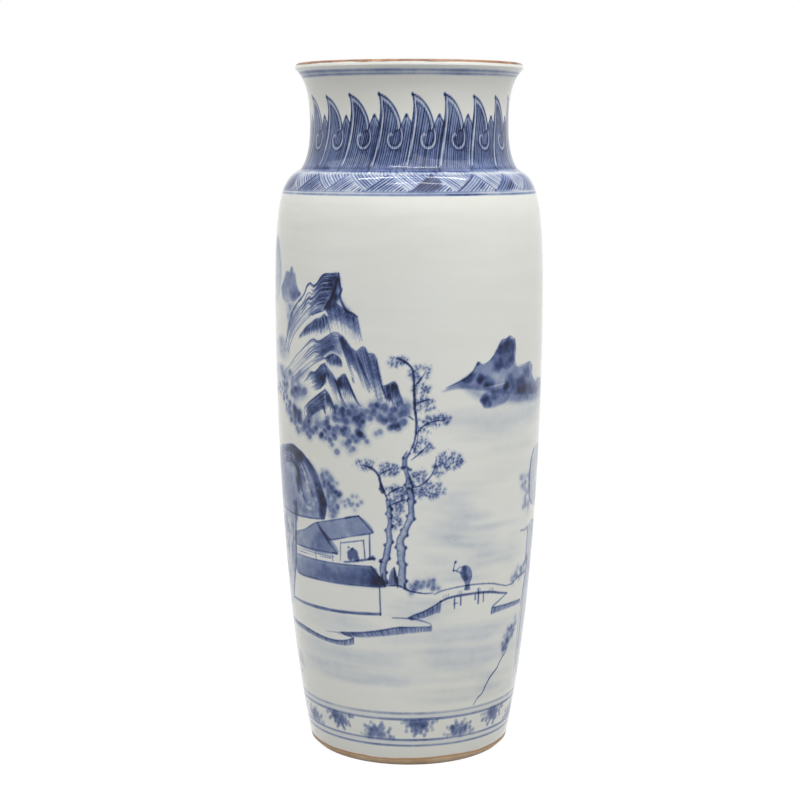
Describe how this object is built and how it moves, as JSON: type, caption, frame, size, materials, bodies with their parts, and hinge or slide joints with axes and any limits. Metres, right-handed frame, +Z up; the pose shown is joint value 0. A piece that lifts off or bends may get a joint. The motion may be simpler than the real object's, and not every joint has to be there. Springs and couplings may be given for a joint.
{
  "type": "sleeve vase",
  "caption": "Tall sleeve vase: a slightly swelling cylinder on a turned unglazed foot, with a short waisted neck, a flared rounded lip and blue painting on white glaze.",
  "frame": {"origin": "centre of the foot's contact plane", "axes": "+Z up along the vase's axis, -Y towards the side with the pavilion and the bridge"},
  "size_m": [0.1762, 0.1762, 0.45],
  "materials": {
    "porcelain": "glossy, slightly cool white glaze over cobalt blue painting, with an unglazed foot edge",
    "slip": "fired porcelain slip, hidden under the glaze",
    "rim_brown": "iron-brown dressing, satin"
  },
  "bodies": {
    "root": {"base_section": "porcelain", "base_lute": "slip", "lower_body": "porcelain", "waist_lute": "slip", "upper_body": "porcelain", "neck_lute": "slip", "neck": "porcelain", "rim_dressing": "rim_brown"}
  },
  "joints": []
}
